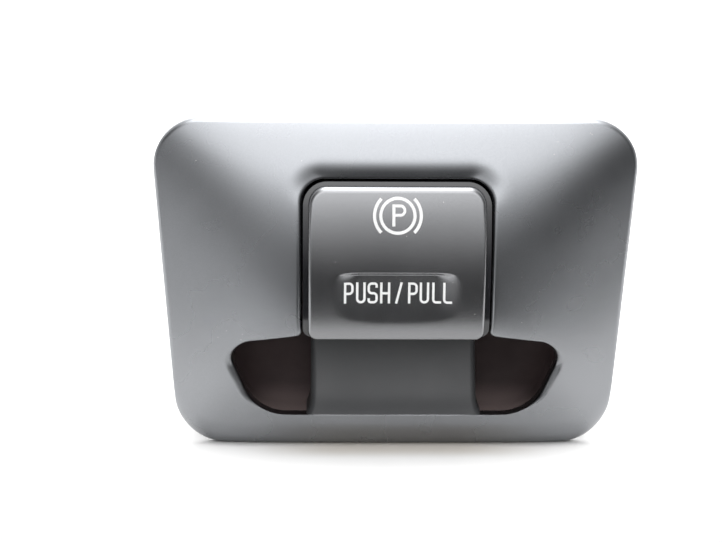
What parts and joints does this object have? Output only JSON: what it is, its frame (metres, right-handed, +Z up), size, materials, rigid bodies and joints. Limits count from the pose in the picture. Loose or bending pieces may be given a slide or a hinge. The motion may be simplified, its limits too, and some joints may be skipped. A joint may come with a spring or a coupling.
{
  "type": "parking brake switch",
  "caption": "Panel-mounted parking brake switch: hipped satin trim bezel with finger recess and a sprung push and pull knob with symbol and function legend.",
  "frame": {"origin": "centre of the bezel's rear rim, on the panel it is seated on", "axes": "+X to the right seen from the front, +Y back into the panel, +Z up; the knob faces -Y"},
  "size_m": [0.0902, 0.0519, 0.0626],
  "materials": {
    "satin_paint": "satin charcoal soft-touch paint",
    "gloss_black": "polished black moulding",
    "inlay_white": "white translucent inlay",
    "black_plastic": "black moulded plastic, fine grain",
    "natural_plastic": "natural low-friction plastic",
    "light_box_white": "white reflective plastic",
    "foam": "closed-cell foam",
    "soft_rubber": "soft rubber",
    "bright_steel": "ground steel",
    "bush_plastic": "grey bearing plastic",
    "screw_steel": "zinc-plated steel",
    "spring_steel": "spring steel",
    "switch_black": "black switch body",
    "stem_red": "red switch button",
    "board_green": "green circuit board",
    "led_white": "diffuse LED package",
    "clear_plastic": "clear light guide",
    "chip_black": "black chip package",
    "chip_tan": "ceramic chip parts",
    "header_natural": "natural header block",
    "contact_metal": "plated contact"
  },
  "bodies": {
    "housing": {"trim_bezel": "satin_paint", "centre_ramp": "satin_paint", "finger_cup": "black_plastic", "mounting_frame": "black_plastic", "switch_housing": "black_plastic", "rear_cover": "black_plastic", "plunger_guide": "black_plastic", "foam_gasket": "foam", "travel_bumpers": "soft_rubber", "pivot_pins": "bright_steel", "bezel_screws": "screw_steel", "cover_screws": "screw_steel", "board_screws": "screw_steel", "retaining_clips": "spring_steel", "pull_switches": "switch_black", "push_switches": "switch_black", "circuit_board": "board_green", "leds": "led_white", "light_guide": "clear_plastic", "controller_chip": "chip_black", "chip_parts": "chip_tan", "connector_header": "header_natural", "connector_pins": "contact_metal"},
    "knob": {"knob_cap": "satin_paint", "knob_body": "gloss_black", "symbol_lens": "inlay_white", "legend_inlay": "inlay_white", "rocker_carrier": "natural_plastic", "light_shield": "light_box_white", "pivot_bushes": "bush_plastic", "carrier_screws": "screw_steel"},
    "pull_set": {"pull_plungers": "natural_plastic", "pull_stems": "stem_red", "pull_springs": "spring_steel"},
    "push_set": {"push_plungers": "natural_plastic", "push_stems": "stem_red", "push_springs": "spring_steel"}
  },
  "joints": [
    {"name": "knob_rock", "type": "hinge", "parent": "housing", "child": "knob", "pos_m": [0, -0.0005, 0.015], "axis": [-1, 0, 0], "range_deg": [-4, 4], "stiffness_Nm_per_rad": 0.25},
    {"name": "pull_travel", "type": "slide", "parent": "housing", "child": "pull_set", "axis": [0, 1, 0], "range_m": [-0.0004, 0.0004], "deforming": ["pull_springs"]},
    {"name": "push_travel", "type": "slide", "parent": "housing", "child": "push_set", "axis": [0, 1, 0], "range_m": [-0.00075, 0.00075], "deforming": ["push_springs"]}
  ],
  "couplings": [
    {"joint": "pull_travel", "follows": "knob_rock", "m_per_rad": 0.0056},
    {"joint": "push_travel", "follows": "knob_rock", "m_per_rad": -0.0104}
  ]
}
